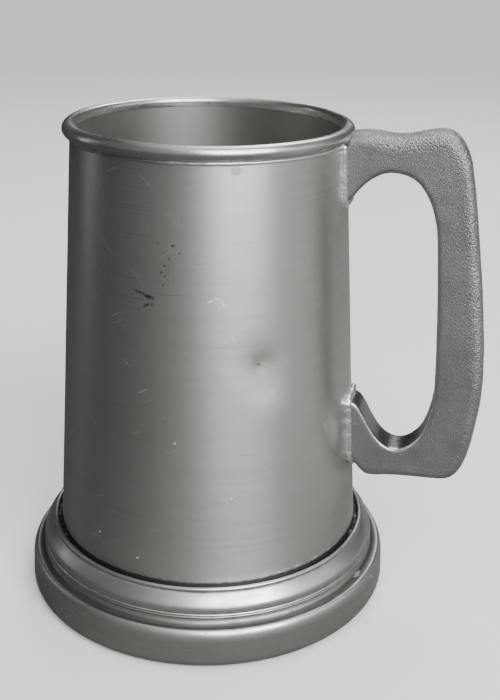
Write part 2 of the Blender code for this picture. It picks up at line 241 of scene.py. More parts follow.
# ---------------------------------------------------------------------------------------------
# Modelling helpers


def deselect():
    """Back to object mode with nothing selected, so that an operator acts on one piece only."""
    if bpy.context.object and bpy.context.object.mode != "OBJECT":
        bpy.ops.object.mode_set(mode="OBJECT")
    bpy.ops.object.select_all(action="DESELECT")


def edit(obj, kind="VERT"):
    """Enters edit mode on one object, with nothing selected and one kind of part selectable."""
    bpy.context.view_layer.objects.active = obj
    bpy.ops.object.mode_set(mode="EDIT")
    bpy.ops.mesh.select_mode(type=kind)
    bpy.ops.mesh.select_all(action="DESELECT")


def done_editing():
    bpy.ops.object.mode_set(mode="OBJECT")


def pick(obj, chosen, kind="VERT"):
    """Enters edit mode with only those points or edges of a mesh selected that pass a test."""
    edit(obj, kind)
    done_editing()
    for part in obj.data.edges if kind == "EDGE" else obj.data.vertices:
        part.select = chosen(part)
    bpy.ops.object.mode_set(mode="EDIT")


def named(obj, name):
    """Names an object and its mesh, and puts its place in its mesh."""
    obj.name = name
    obj.data.name = name
    bpy.ops.object.transform_apply(location=True, rotation=True, scale=True)
    return obj


def arc(centre, across, up, start, end, steps):
    """Points (radius, level) along an elliptical arc, from one angle in degrees to another."""
    points = []
    for i in range(steps + 1):
        turn = math.radians(start + (end - start) * i / steps)
        points.append((centre[0] + across * math.cos(turn), centre[1] + up * math.sin(turn)))
    return points


def turned(name, outline, sides, leave_out=0.0):
    """Draws an outline of (radius, level) points by extruding one point from corner to corner,
    then spins it round the barrel's axis. leave_out is an angle left open at the handle."""
    deselect()
    first = Vector((AXIS_X + outline[0][0], 0, outline[0][1]))
    bpy.ops.mesh.primitive_plane_add(size=MM, location=first)
    obj = named(bpy.context.object, name)
    edit(obj)
    bpy.ops.mesh.select_all(action="SELECT")
    bpy.ops.mesh.merge(type="CENTER")
    for before, after in zip(outline, outline[1:] + outline[:1]):
        step = (after[0] - before[0], 0, after[1] - before[1])
        bpy.ops.mesh.extrude_vertices_move(TRANSFORM_OT_translate={"value": step})
    bpy.ops.mesh.select_all(action="SELECT")
    if leave_out:
        bpy.ops.transform.rotate(
            value=-leave_out / 2,
            orient_axis="Z",
            orient_type="GLOBAL",
            center_override=(AXIS_X, 0, 0),
        )
    bpy.ops.mesh.spin(
        steps=sides, angle=math.tau - leave_out, center=(AXIS_X, 0, 0), axis=(0, 0, 1)
    )
    bpy.ops.mesh.select_all(action="SELECT")
    bpy.ops.mesh.remove_doubles(threshold=MERGE)
    bpy.ops.mesh.dissolve_degenerate(threshold=MERGE)
    bpy.ops.mesh.fill_holes(sides=0)
    bpy.ops.mesh.select_all(action="SELECT")
    bpy.ops.mesh.normals_make_consistent(inside=False)
    done_editing()
    return obj


def copied(node, name):
    """A merged copy of a frame piece, free of the frame."""
    deselect()
    source = frame["nodes"][node]
    source.select_set(True)
    bpy.context.view_layer.objects.active = source
    bpy.ops.object.duplicate(linked=False)
    obj = bpy.context.object
    bpy.ops.object.parent_clear(type="CLEAR_KEEP_TRANSFORM")
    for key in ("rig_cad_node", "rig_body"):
        del obj[key]
    obj.data.materials.clear()
    named(obj, name)
    edit(obj)
    bpy.ops.mesh.select_all(action="SELECT")
    bpy.ops.mesh.remove_doubles(threshold=MERGE)
    done_editing()
    return obj


def modify(obj, kind, **settings):
    """Adds one modifier to an object, sets it and applies it."""
    bpy.context.view_layer.objects.active = obj
    modifier = obj.modifiers.new(kind.title(), kind)
    for key, value in settings.items():
        setattr(modifier, key, value)
    bpy.ops.object.modifier_apply(modifier=modifier.name)


def lumpy(obj, name, size, detail, strength, **settings):
    """Moves a surface in and out by a cloud of lumps. Its sizes are in metres."""
    clouds = bpy.data.textures.new(name, "CLOUDS")
    clouds.noise_scale = size
    clouds.noise_depth = detail
    modify(obj, "DISPLACE", texture=clouds, strength=strength, mid_level=0.5, **settings)


def weigh(obj, group, weight_of):
    """Fills a vertex group with a weight worked out from each point and its normal."""
    made = obj.vertex_groups.new(name=group)
    for vert in obj.data.vertices:
        weight = weight_of(vert.co, vert.normal)
        if weight > 0:
            made.add([vert.index], min(weight, 1.0), "REPLACE")


def paint(obj, name, weight_of):
    """Keeps a value from 0 to 1 for each point, for a material to read."""
    made = obj.data.attributes.new(name, "FLOAT", "POINT")
    for vert, value in zip(obj.data.vertices, made.data):
        value.value = min(max(weight_of(vert.co, vert.normal), 0.0), 1.0)


def coat(obj, *materials):
    """Gives a piece its materials."""
    for name in materials:
        obj.data.materials.append(bpy.data.materials[name])


def finish_off(obj, sharpest, slot, *nodes):
    """Smooths a piece's corners up to an angle in degrees, fixes it to the frame's root body and
    hides the frame pieces that it stands for. slot, the name of its finish, is not used."""
    deselect()
    obj.select_set(True)
    bpy.context.view_layer.objects.active = obj
    bpy.ops.object.shade_smooth_by_angle(angle=math.radians(sharpest))
    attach(obj, "root")
    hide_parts(*nodes)


def on_barrel(azimuth, level):
    """A point on the barrel's outer face, at an angle round the axis from the handle."""
    turn = math.radians(azimuth)
    radius = barrel_radius(level)
    return Vector((AXIS_X + radius * math.cos(turn), radius * math.sin(turn), level))


def knock(obj, azimuth, level, depth, spread):
    """Pushes the sheet in at one spot, and the metal round it with it."""
    spot = on_barrel(azimuth, level)
    nearest = min(obj.data.vertices, key=lambda vert: (vert.co - spot).length).index
    pick(obj, lambda vert: vert.index == nearest)
    inwards = Vector((AXIS_X - spot.x, -spot.y, 0)).normalized()
    bpy.ops.transform.translate(
        value=inwards * depth,
        use_proportional_edit=True,
        proportional_edit_falloff="SMOOTH",
        proportional_size=spread,
    )
    done_editing()


# ---------------------------------------------------------------------------------------------
# Node helpers


def put(tree, kind, inputs=None, **settings):
    """Adds a shader node, sets it, and fills its inputs with values or links."""
    made = tree.nodes.new("ShaderNode" + kind)
    for key, value in settings.items():
        setattr(made, key, value)
    for key, value in (inputs or {}).items():
        fill(tree, made.inputs[key], value)
    return made


def fill(tree, socket, value):
    """Gives a socket a value or a link."""
    if isinstance(value, bpy.types.NodeSocket):
        tree.links.new(value, socket)
    else:
        socket.default_value = value


def maths(tree, operation, first, second=0.0):
    return put(tree, "Math", {0: first, 1: second}, operation=operation).outputs[0]


def joining(operation):
    """A function that joins two or more values, from left to right, by one kind of maths."""

    def join(tree, total, *values):
        for value in values:
            total = maths(tree, operation, total, value)
        return total

    return join


plus = joining("ADD")
minus = joining("SUBTRACT")
times = joining("MULTIPLY")
over = joining("DIVIDE")
highest = joining("MAXIMUM")


def long_side(tree, across, up):
    """The length of the slanting side that two upright lengths make."""
    return maths(tree, "POWER", plus(tree, times(tree, across, across), times(tree, up, up)), 0.5)


def leant(tree, across, up, lean):
    """Two upright lengths turned by a lean: the length along it, and the length across it."""
    cos = maths(tree, "COSINE", lean)
    sin = maths(tree, "SINE", lean)
    along = plus(tree, times(tree, across, cos), times(tree, up, sin))
    return along, minus(tree, times(tree, up, cos), times(tree, across, sin))


def vector(tree, operation, first, second=(0.0, 0.0, 0.0)):
    """Vector maths: a number for a length or a dot product, and otherwise a vector."""
    made = put(tree, "VectorMath", {0: first, 1: second}, operation=operation)
    return made.outputs["Value" if operation in ("LENGTH", "DOT_PRODUCT") else "Vector"]


def bundle(tree, x, y, z=0.0):
    return put(tree, "CombineXYZ", {"X": x, "Y": y, "Z": z}).outputs[0]


def split(tree, value):
    return put(tree, "SeparateXYZ", {0: value}).outputs


def ramp(tree, value, low, high, start=0.0, end=1.0):
    """A smooth step of a value from low to high."""
    inputs = {"Value": value, "From Min": low, "From Max": high, "To Min": start, "To Max": end}
    return put(tree, "MapRange", inputs, interpolation_type="SMOOTHSTEP").outputs["Result"]


def noise(tree, at, scale, detail=2.0, roughness=0.5):
    """A cloud of noise. Its scale is about how many lumps there are in a metre."""
    inputs = {"Vector": at, "Scale": scale, "Detail": detail, "Roughness": roughness}
    return put(tree, "TexNoise", inputs).outputs[0]


def lucky_cells(tree, at, scale, chance, **settings):
    """Scattered spots: the distance from each one's middle, and 1 where a spot is kept."""
    cells = put(tree, "TexVoronoi", {"Vector": at, "Scale": scale, "Randomness": 1.0}, **settings)
    luck = put(tree, "SeparateColor", {0: cells.outputs["Color"]}).outputs[0]
    return cells.outputs["Distance"], maths(tree, "LESS_THAN", luck, chance)


def blend(tree, amount, first, second):
    """A mix of two colours."""
    made = put(tree, "Mix", {0: amount}, data_type="RGBA")
    for socket, value in ((made.inputs[6], first), (made.inputs[7], second)):
        fill(tree, socket, value if isinstance(value, bpy.types.NodeSocket) else (*value, 1.0))
    return made.outputs[2]


def coated(tree, base, *coats):
    """A colour under coats. Each is a mask, how much of it counts, and its own colour."""
    for mask, amount, tone in coats:
        base = blend(tree, times(tree, mask, amount), base, tone)
    return base


def shifted(tree, total, *shifts):
    """A number that changes under masks. Each shift is a mask and the most that it adds."""
    for mask, amount in shifts:
        total = plus(tree, total, times(tree, mask, amount))
    return total


def group(name, inputs, outputs):
    """A new shader group with number sockets, and its two end nodes."""
    tree = bpy.data.node_groups.new(name, "ShaderNodeTree")
    for title, default in inputs.items():
        socket = tree.interface.new_socket(
            name=title, in_out="INPUT", socket_type="NodeSocketFloat"
        )
        socket.default_value = default
    for title in outputs:
        tree.interface.new_socket(name=title, in_out="OUTPUT", socket_type="NodeSocketFloat")
    ends = tree.nodes.new("NodeGroupInput"), tree.nodes.new("NodeGroupOutput")
    return tree, ends[0].outputs, ends[1].inputs


def here(tree):
    """Object coordinates."""
    return put(tree, "TexCoord").outputs["Object"]


def from_axis(tree):
    """Object coordinates measured from the barrel's axis."""
    return vector(tree, "SUBTRACT", here(tree), (AXIS_X, 0, 0))


def turned_lines():
    """Fine rings left by the lathe: a height, and a shade for colour and roughness."""
    sockets = {"Lines per mm": 3.0, "Drift": 6.0}
    tree, given, result = group("Turned Lines", sockets, ["Height", "Shade"])
    fine = times(tree, given["Lines per mm"], 1 / MM)
    scale = bundle(tree, given["Drift"], given["Drift"], fine)
    scaled = vector(tree, "MULTIPLY", from_axis(tree), scale)
    rings = times(tree, noise(tree, scaled, 1.0, 3.0), 0.6)
    height = shifted(tree, rings, (noise(tree, scaled, 0.13), 0.4))
    tree.links.new(height, result["Height"])
    tree.links.new(ramp(tree, height, 0.3, 0.7), result["Shade"])


def tarnish():
    """Cloudy patches of duller metal."""
    tree, given, result = group("Tarnish", {"Patch size": 20 * MM, "Cover": 0.5}, ["Mask"])
    clouds = noise(tree, here(tree), over(tree, 1.0, given["Patch size"]), 6.0, 0.6)
    start = shifted(tree, 0.7, (given["Cover"], -0.6))
    tree.links.new(ramp(tree, clouds, start, plus(tree, start, 0.42)), result["Mask"])


def pits():
    """Scattered small round marks: one in each cell that is lucky enough to have one."""
    sockets = {"Spacing": 4 * MM, "Radius": 0.3 * MM, "Share": 0.3, "Seed": 0.0}
    tree, given, result = group("Pits", sockets, ["Mask"])
    seed = given["Seed"]
    moved = vector(tree, "ADD", here(tree), bundle(tree, seed, seed, seed))
    scale = over(tree, 1.0, given["Spacing"])
    away, kept = lucky_cells(tree, moved, scale, given["Share"])
    reach = over(tree, given["Radius"], given["Spacing"])
    spot = ramp(tree, away, times(tree, reach, 0.4), reach, 1.0, 0.0)
    tree.links.new(times(tree, spot, kept), result["Mask"])


def mark():
    """One mark on the barrel, at an angle round the axis and a level, with a ragged edge."""
    sockets = {
        "Azimuth": 0.0,
        "Level": 0.0,
        "Half width": MM,
        "Half height": MM,
        "Lean": 0.0,
        "Softness": 0.3,
        "Ragged": 0.3,
        "Weight": 1.0,
    }
    tree, given, result = group("Mark", sockets, ["Mask"])
    point = from_axis(tree)
    x, y, z = split(tree, point)
    turn = minus(tree, maths(tree, "ARCTAN2", y, x), given["Azimuth"])
    across = times(tree, turn, long_side(tree, x, y))
    along, off = leant(tree, across, minus(tree, z, given["Level"]), given["Lean"])
    far = long_side(
        tree, over(tree, along, given["Half width"]), over(tree, off, given["Half height"])
    )
    torn = minus(tree, noise(tree, point, 1400.0, 3.0), 0.5)
    edge = plus(tree, far, times(tree, torn, given["Ragged"], 4.0))
    shape = ramp(tree, edge, minus(tree, 1.0, given["Softness"]), 1.0, 1.0, 0.0)
    tree.links.new(times(tree, shape, given["Weight"]), result["Mask"])


def scratches():
    """Scattered straight hairlines round the barrel, all at one lean."""
    sockets = {
        "Length": 12 * MM, "Width": 0.25 * MM, "Lean": 0.0, "Share": 0.01, "Seed": 0.0
    }
    tree, given, result = group("Scratches", sockets, ["Mask"])
    x, y, z = split(tree, from_axis(tree))
    across = times(tree, maths(tree, "ARCTAN2", y, x), BARREL_OUTER_LOW)
    along, off = leant(tree, across, z, given["Lean"])
    cell = bundle(
        tree,
        plus(tree, over(tree, along, given["Length"]), given["Seed"]),
        plus(tree, over(tree, off, given["Width"]), given["Seed"]),
    )
    away, kept = lucky_cells(tree, cell, 1.0, given["Share"], voronoi_dimensions="2D")
    tree.links.new(times(tree, ramp(tree, away, 0.15, 0.42, 1.0, 0.0), kept), result["Mask"])


def edge_wear():
    """Rubbed corners and dirty hollows, from how sharply the surface turns."""
    bulging = 0.505
    hollow = 0.495
    tree, given, result = group("Edge Wear", {"Reach": 0.03}, ["Rubbed", "Hollow"])
    reach = given["Reach"]
    uneven = minus(tree, noise(tree, here(tree), 350.0, 4.0), 0.5)
    sharp = shifted(tree, put(tree, "NewGeometry").outputs["Pointiness"], (uneven, reach))
    tree.links.new(ramp(tree, sharp, bulging, plus(tree, bulging, reach)), result["Rubbed"])
    tree.links.new(ramp(tree, sharp, hollow, minus(tree, hollow, reach)), result["Hollow"])


def dust():
    """Dust and lint that settles on what faces up."""
    tree, given, result = group("Dust", {"Amount": 0.3}, ["Mask"])
    upward = split(tree, put(tree, "NewGeometry").outputs["Normal"])[2]
    settled = ramp(tree, upward, 0.35, 0.95)
    lint = ramp(tree, noise(tree, here(tree), 900.0, 5.0, 0.7), 0.45, 0.75)
    tree.links.new(times(tree, settled, lint, given["Amount"]), result["Mask"])


def cast_grain():
    """The pebbled skin of a sand casting: a height and a shade."""
    tree, given, result = group("Cast Grain", {"Grain size": 0.6 * MM}, ["Height", "Shade"])
    point = here(tree)
    scale = over(tree, 1.0, given["Grain size"])
    inputs = {"Vector": point, "Scale": scale, "Smoothness": 0.6}
    bumps = put(tree, "TexVoronoi", inputs, feature="SMOOTH_F1").outputs["Distance"]
    rough = noise(tree, point, scale, 4.0)
    tree.links.new(shifted(tree, rough, (bumps, -0.5)), result["Height"])
    tree.links.new(ramp(tree, rough, 0.35, 0.65), result["Shade"])


def use(tree, name, **values):
    """Places a shared group in a material with its own values, and returns its outputs."""
    made = tree.nodes.new("ShaderNodeGroup")
    made.node_tree = bpy.data.node_groups[name]
    for key, value in values.items():
        fill(tree, made.inputs[key.replace("_", " ")], value)
    return made.outputs


def patchy(tree, size, cover):
    """The mask of the Tarnish group, for patches of a size in millimetres."""
    return use(tree, "Tarnish", Patch_size=size * MM, Cover=cover)["Mask"]


def pitted(tree, spacing, radius, chance, seed=0.0):
    """The mask of the Pits group, for sizes in millimetres."""
    sizes = {"Spacing": spacing * MM, "Radius": radius * MM}
    return use(tree, "Pits", **sizes, Share=chance, Seed=seed)["Mask"]


def material(name, metallic=1.0):
    """A new material's node tree, and the inputs of its Principled shader."""
    made = bpy.data.materials.new(name)
    made.use_nodes = True
    shader = made.node_tree.nodes["Principled BSDF"].inputs
    shader["Metallic"].default_value = metallic
    return made.node_tree, shader


def surface(tree, shader, base, roughness, normal):
    """Joins a metal's colour, roughness and bumps to its shader."""
    tree.links.new(base, shader["Base Color"])
    tree.links.new(roughness, shader["Roughness"])
    tree.links.new(normal, shader["Normal"])


def brushed_round(tree, shader, amount):
    """Draws a metal's highlights out across lines that run round the barrel."""
    shader["Anisotropic"].default_value = amount
    shader["Anisotropic Rotation"].default_value = 0.25
    round_axis = put(tree, "Tangent", direction_type="RADIAL", axis="Z").outputs[0]
    tree.links.new(round_axis, shader["Tangent"])


def bump(tree, height, depth, normal=None):
    """A bump of a height from 0 to 1, as deep as it says, in millimetres."""
    inputs = {"Height": height, "Strength": 1.0, "Distance": depth * MM}
    if normal:
        inputs["Normal"] = normal
    return put(tree, "Bump", inputs).outputs["Normal"]


# Marks on the barrel: angle round the axis from the handle, level and half sizes in
# millimetres, lean in degrees, softness, raggedness, weight
DARK_MARKS = [
    (-101.4, 96.6, 2.5, 0.62, -8, 0.8, 0.35, 0.80),
    (-97.6, 95.7, 2.1, 0.78, -12, 0.7, 0.35, 1.00),
    (-90.0, 96.7, 6.0, 0.15, 1, 0.9, 0.35, 0.60),
    (-98.6, 93.6, 1.5, 0.50, 20, 0.9, 0.90, 0.80),
    (-96.0, 93.8, 0.9, 0.70, 0, 0.9, 0.90, 0.75),
    (-101.4, 92.6, 0.9, 0.60, 0, 0.9, 0.90, 0.70),
    (-94.0, 109.0, 0.46, 0.42, 0, 0.8, 0.30, 0.65),
    (-88.4, 108.6, 0.58, 0.52, 0, 0.7, 0.30, 0.95),
    (-86.0, 106.9, 0.46, 0.42, 0, 0.8, 0.30, 0.65),
    (-89.6, 105.4, 0.46, 0.66, 0, 0.8, 0.30, 0.65),
    (-91.4, 103.7, 0.66, 0.50, 0, 0.8, 0.40, 0.80),
    (-92.5, 102.0, 0.92, 0.48, 30, 0.8, 0.50, 0.75),
    (-91.4, 101.2, 0.50, 0.62, 0, 0.8, 0.40, 0.75),
    (-92.1, 99.0, 0.40, 0.90, 0, 0.9, 0.40, 0.60),
    (-90.4, 103.0, 3.6, 6.4, 18, 0.95, 0.70, 0.16),
    (-102.0, 104.0, 3.4, 1.6, 0, 0.95, 0.80, 0.18),
    (-78.6, 104.4, 1.60, 0.14, 12, 0.9, 0.60, 0.45),
    (-85.4, 115.4, 0.45, 1.30, 0, 0.9, 0.30, 0.35),
    (-91.3, 64.4, 0.60, 0.24, 15, 0.8, 0.40, 0.75),
    (-56.4, 78.9, 0.80, 0.52, -40, 0.8, 0.40, 1.00),
    (-55.8, 78.6, 1.90, 0.16, -36, 0.9, 0.40, 0.70),
    (-73.2, 67.6, 0.40, 0.50, 0, 0.9, 0.40, 0.35),
    (48.0, 84.0, 2.4, 0.30, 12, 0.8, 0.50, 0.70),
    (131.0, 58.0, 0.5, 0.5, 0, 0.7, 0.40, 0.70),
    (158.0, 101.0, 1.6, 0.25, -20, 0.8, 0.50, 0.60),
]
LIGHT_MARKS = [
    (-74.3, 95.7, 1.50, 0.24, 22, 0.8, 0.35, 1.0),
    (-71.9, 96.2, 1.20, 0.24, -8, 0.8, 0.35, 1.0),
    (-69.9, 95.0, 1.50, 0.26, -62, 0.8, 0.35, 1.0),
    (-106.2, 77.9, 1.90, 0.12, -36, 0.9, 0.40, 0.6),
    (-25.8, 57.0, 1.90, 0.24, -62, 0.9, 0.40, 1.0),
    (-50.6, 70.6, 3.20, 0.17, -55, 0.9, 0.40, 1.0),
    (-54.6, 70.0, 2.60, 0.15, -48, 0.9, 0.40, 0.8),
    (-66.0, 85.6, 0.30, 3.4, 24, 0.9, 0.40, 0.5),
    (-66.9, 44.0, 0.45, 0.40, 0, 0.7, 0.30, 1.0),
    (-87.1, 58.9, 0.40, 0.36, 0, 0.7, 0.30, 1.0),
    (-101.0, 25.1, 0.70, 0.34, 30, 0.7, 0.30, 1.0),
    (-118.4, 28.5, 0.45, 0.42, 0, 0.7, 0.30, 1.0),
    (-49.2, 67.2, 0.40, 0.40, 0, 0.7, 0.30, 1.0),
    (-60.3, 60.5, 1.20, 0.14, -20, 0.9, 0.40, 0.7),
    (70.0, 66.0, 2.60, 0.14, 40, 0.9, 0.40, 0.7),
    (118.0, 92.0, 1.80, 0.14, -30, 0.9, 0.40, 0.7),
]
# One dull spot, and painted shade over the main knock
DULL_AND_KNOCK_SHADE_MARKS = [
    (-65.1, 126.2, 1.90, 1.50, 0, 0.6, 0.15, 1.0),
    # painted shade over the upper side of the main knock
    (-55.2, 80.6, 6.6, 5.6, 10, 0.95, 0.10, 0.9),
]
# Painted reflection of light on the lower side of the main knock, on rubbed metal
KNOCK_REFLECTION_AND_RUBBED_MARKS = [
    (-52.0, 69.6, 8.4, 7.0, 10, 0.95, 0.12, 1.0),
    (-53.6, 71.2, 4.6, 3.6, 30, 0.90, 0.45, 0.6),
]


def marks(tree, listed):
    """The marks of one kind, joined into one mask."""
    total = 0.0
    for azimuth, level, half_width, half_height, lean, softness, ragged, weight in listed:
        mask = use(
            tree, "Mark",
            Azimuth=math.radians(azimuth),
            Level=level * MM,
            Half_width=half_width * MM,
            Half_height=half_height * MM,
            Lean=math.radians(lean),
            Softness=softness,
            Ragged=ragged,
            Weight=weight,
        )["Mask"]
        total = highest(tree, mask, total)
    return total


def groove_edge(tree):
    """A darker band, with a ragged top, along the barrel just above the foot's groove, and painted
    glints of solder above it on the front right, where the key light catches them.
    """
    creep = minus(tree, noise(tree, here(tree), 900.0, 3.0), 0.5)
    level = shifted(tree, split(tree, from_axis(tree))[2], (creep, 0.7 * MM))
    top = FOOT_HIGH.z
    # darker band just above the foot's groove
    dark_above_groove = ramp(tree, level, top - 0.1 * MM, top + 0.7 * MM, 1.0, 0.0)
    under = ramp(tree, level, top + 1.0 * MM, top + 0.8 * MM)
    above = ramp(tree, level, top + 0.4 * MM, top + 0.6 * MM)
    broken = ramp(tree, noise(tree, here(tree), 420.0, 4.0), 0.50, 0.58)
    way = vector(tree, "NORMALIZE", from_axis(tree))
    right_front = vector(tree, "DOT_PRODUCT", way, (0.80, -0.60, 0.0))
    # painted highlight: the glints of solder are kept to the front right, where the key light
    # catches them
    glints = times(tree, under, above, broken, ramp(tree, right_front, 0.80, 0.92))
    return dark_above_groove, glints


def brushed_pewter(finish):
    """The barrel's outside: satin, with lathe lines, dulled patches, pits, scuffs and knocks,
    painted shade and a painted reflection at the main knock, a darker band above the groove and
    painted glints of solder over it.
    """
    tree, shader = material("barrel_metal")
    lines = use(tree, "Turned Lines", Lines_per_mm=2.6, Drift=5.0)
    patches = patchy(tree, 34, 0.42)
    fine_patches = patchy(tree, 6, 0.30)
    small_pits = pitted(tree, 5.5, 0.28, 0.20)
    bright_specks = pitted(tree, 7, 0.26, 0.14, 3.7)
    dark = marks(tree, DARK_MARKS)
    light = marks(tree, LIGHT_MARKS)
    hairs = highest(
        tree,
        use(tree, "Scratches", Lean=math.radians(-38), Share=0.010, Seed=2.3)["Mask"],
        use(tree, "Scratches", Length=7 * MM, Lean=math.radians(27), Share=0.008)["Mask"],
    )
    rings = use(
        tree, "Scratches", Length=30 * MM, Width=0.2 * MM, Share=0.03, Seed=7.7
    )["Mask"]
    dark_above_groove, glints = groove_edge(tree)

    base = coated(
        tree, finish.pewter,
        (patches, 0.30, finish.tarnish),
        (fine_patches, 0.16, finish.tarnish),
        (lines["Shade"], 0.16, finish.tarnish),
        # painted reflection below the main knock, on rubbed metal
        (marks(tree, KNOCK_REFLECTION_AND_RUBBED_MARKS), 0.70, finish.solder),
        # one dull spot, and painted shade over the main knock
        (marks(tree, DULL_AND_KNOCK_SHADE_MARKS), 0.78, finish.tarnish),
        (small_pits, 0.55, finish.dirt),
        (rings, 0.22, finish.dirt),
        (hairs, 0.40, finish.solder),
        (dark, 0.90, finish.dirt),
        (highest(tree, light, bright_specks), 1.0, finish.solder),
        # darker band just above the foot's groove
        (dark_above_groove, 0.95, finish.dirt),
        # painted glints of solder on the front right, where the key light catches them
        (glints, 1.0, finish.solder),
    )
    scored = highest(tree, light, bright_specks, glints, times(tree, hairs, 0.3))
    tree.links.new(shifted(tree, 1.0, (scored, -0.2)), shader["Metallic"])
    rough = shifted(
        tree, finish.barrel_roughness - 0.04,
        (lines["Shade"], 0.06), (patches, 0.05), (dark, 0.20), (dark_above_groove, 0.30),
    )
    brushed_round(tree, shader, finish.barrel_brushing)
    hurt = bump(tree, minus(tree, 1.0, small_pits, dark), 0.03)
    surface(tree, shader, base, rough, bump(tree, lines["Height"], 0.012, hurt))


def bore_pewter(finish):
    """The barrel's inside: turned, never polished, and duller."""
    tree, shader = material("bore_metal")
    lines = use(tree, "Turned Lines", Lines_per_mm=1.4, Drift=5.0)
    patches = patchy(tree, 18, 0.5)
    base = coated(
        tree, finish.bore,
        (patches, 1.0, finish.tarnish),
        (lines["Shade"], 0.14, finish.tarnish),
        (pitted(tree, 6, 0.5, 0.2, 1.9), 0.35, finish.dirt),
    )
    brushed_round(tree, shader, 0.45)
    rough = shifted(tree, 0.44, (patches, 0.08))
    surface(tree, shader, base, rough, bump(tree, lines["Height"], 0.02))


def polished_pewter(name, finish, lines_per_mm, roughness, dust_amount, dulling):
    """The bead and the foot: brighter, with rubbed edges, dirt in the hollows, a darker cove on
    the foot and fine dings.
    """
    tree, shader = material(name)
    lines = use(tree, "Turned Lines", Lines_per_mm=lines_per_mm, Drift=6.0)
    patches = patchy(tree, 12, dulling)
    dings = pitted(tree, 4, 0.30, 0.16, 5.1)
    specks = pitted(tree, 4.2, 0.32, 0.16, 8.4)
    wear = use(tree, "Edge Wear", Reach=0.05)
    lying = use(tree, "Dust", Amount=dust_amount)["Mask"]
    grime = put(tree, "Attribute", attribute_name="grime").outputs["Fac"]
    lumps_per_metre = (70.0, 70.0, 520.0)
    drawn_out = vector(tree, "MULTIPLY", from_axis(tree), lumps_per_metre)
    smears = ramp(tree, noise(tree, drawn_out, 1.0, 4.0), 0.40, 0.68)
    base = coated(
        tree, finish.pewter,
        (patches, 0.38, finish.tarnish),
        (smears, 0.45, finish.tarnish),
        # darker in the foot's cove and on its shelf
        (grime, 0.86, finish.dirt),
        (wear["Hollow"], 0.75, finish.dirt),
        (dings, 0.60, finish.dirt),
        (wear["Rubbed"], 0.50, finish.solder),
        (specks, 0.80, finish.solder),
        (lying, 1.0, finish.dust),
    )
    tree.links.new(shifted(tree, 1.0, (specks, -0.55)), shader["Metallic"])
    rough = shifted(
        tree, roughness,
        (patches, 0.10), (smears, 0.10), (lying, 0.50), (grime, 0.15), (wear["Hollow"], 0.30),
    )
    hurt = bump(tree, minus(tree, 1.0, dings), 0.08)
    surface(tree, shader, base, rough, bump(tree, lines["Height"], 0.014, hurt))


def satin_pewter(finish):
    """The floor plate: spun, with a stain or two."""
    tree, shader = material("plate_metal")
    patches = patchy(tree, 15, 0.55)
    rings_per_metre = 1600.0
    out = vector(tree, "LENGTH", vector(tree, "MULTIPLY", from_axis(tree), (1, 1, 0)))
    inputs = {"W": times(tree, out, rings_per_metre), "Scale": 1.0}
    rings = put(tree, "TexNoise", inputs, noise_dimensions="1D").outputs[0]
    base = coated(
        tree, finish.pewter,
        (patches, 0.45, finish.tarnish),
        (pitted(tree, 9, 1.1, 0.3, 2.2), 0.40, finish.dirt),
    )
    surface(tree, shader, base, shifted(tree, 0.42, (patches, 0.10)), bump(tree, rings, 0.02))


def cast_pewter(finish):
    """The handle: a matt cast skin, pebbled on its outer edge, filed smooth on its inner one."""
    tree, shader = material("handle_metal")
    grain = use(tree, "Cast Grain", Grain_size=0.52 * MM)
    fine = use(tree, "Cast Grain", Grain_size=0.26 * MM)
    patches = patchy(tree, 10, 0.5)
    holes = pitted(tree, 4.8, 0.34, 0.22, 0.6)
    pebbled = put(tree, "Attribute", attribute_name="pebbled").outputs["Fac"]
    filed = put(tree, "Attribute", attribute_name="filed").outputs["Fac"]
    base = coated(
        tree, finish.casting,
        (patches, 0.35, finish.tarnish),
        (patchy(tree, 26, 0.5), 0.22, finish.dirt),
        (fine["Shade"], 0.40, finish.tarnish),
        (times(tree, pebbled, grain["Shade"]), 0.14, finish.solder),
        (filed, 0.35, finish.pewter),
        (holes, 0.80, finish.dirt),
    )
    rough = shifted(
        tree, finish.casting_roughness, (patches, 0.08), (pebbled, -0.14), (filed, -0.24)
    )
    coarse = times(tree, grain["Height"], shifted(tree, 0.12, (pebbled, 1.9)))
    skin = shifted(tree, coarse, (fine["Height"], 0.45))
    skin = times(tree, skin, minus(tree, 1.0, filed))
    hurt = bump(tree, minus(tree, 1.0, holes), 0.20)
    surface(tree, shader, base, rough, bump(tree, skin, 0.22, hurt))


def bright_solder(finish):
    """Soft solder at the handle: bright, and a little dull in its hollows."""
    tree, shader = material("seam_metal")
    grain = use(tree, "Cast Grain", Grain_size=0.9 * MM)
    patches = patchy(tree, 4, 0.40)
    wear = use(tree, "Edge Wear", Reach=0.06)
    base = coated(
        tree, finish.solder,
        (patches, 0.25, finish.tarnish),
        (wear["Hollow"], 0.30, finish.dirt),
    )
    rough = shifted(tree, 0.34, (patches, 0.15))
    surface(tree, shader, base, rough, bump(tree, grain["Height"], 0.09))


def rim_solder(finish):
    """The thin line under the bead: painted bright on the front right, where the key light catches
    it, painted dull as if in shade round the rest, and broken by dull patches.
    """
    tree, shader = material("fillet_metal")
    grain = use(tree, "Cast Grain", Grain_size=0.9 * MM)
    way = vector(tree, "NORMALIZE", from_axis(tree))
    # painted highlight and shade: the line is bright only where it faces the key light on the
    # front right
    facing_key_light = vector(tree, "DOT_PRODUCT", way, (0.23, -0.16, 0.0))
    tarnish_and_shade = highest(tree, ramp(tree, facing_key_light, 0.055, 0.030), patchy(tree, 6, 0.35))
    tarnish_and_shade = highest(tree, times(tree, tarnish_and_shade, 0.85), patchy(tree, 1.6, 0.35))
    base = coated(tree, finish.solder, (tarnish_and_shade, 1.0, finish.tarnish))
    rough = shifted(tree, 0.36, (tarnish_and_shade, 0.12))
    surface(tree, shader, base, rough, bump(tree, grain["Height"], 0.06))


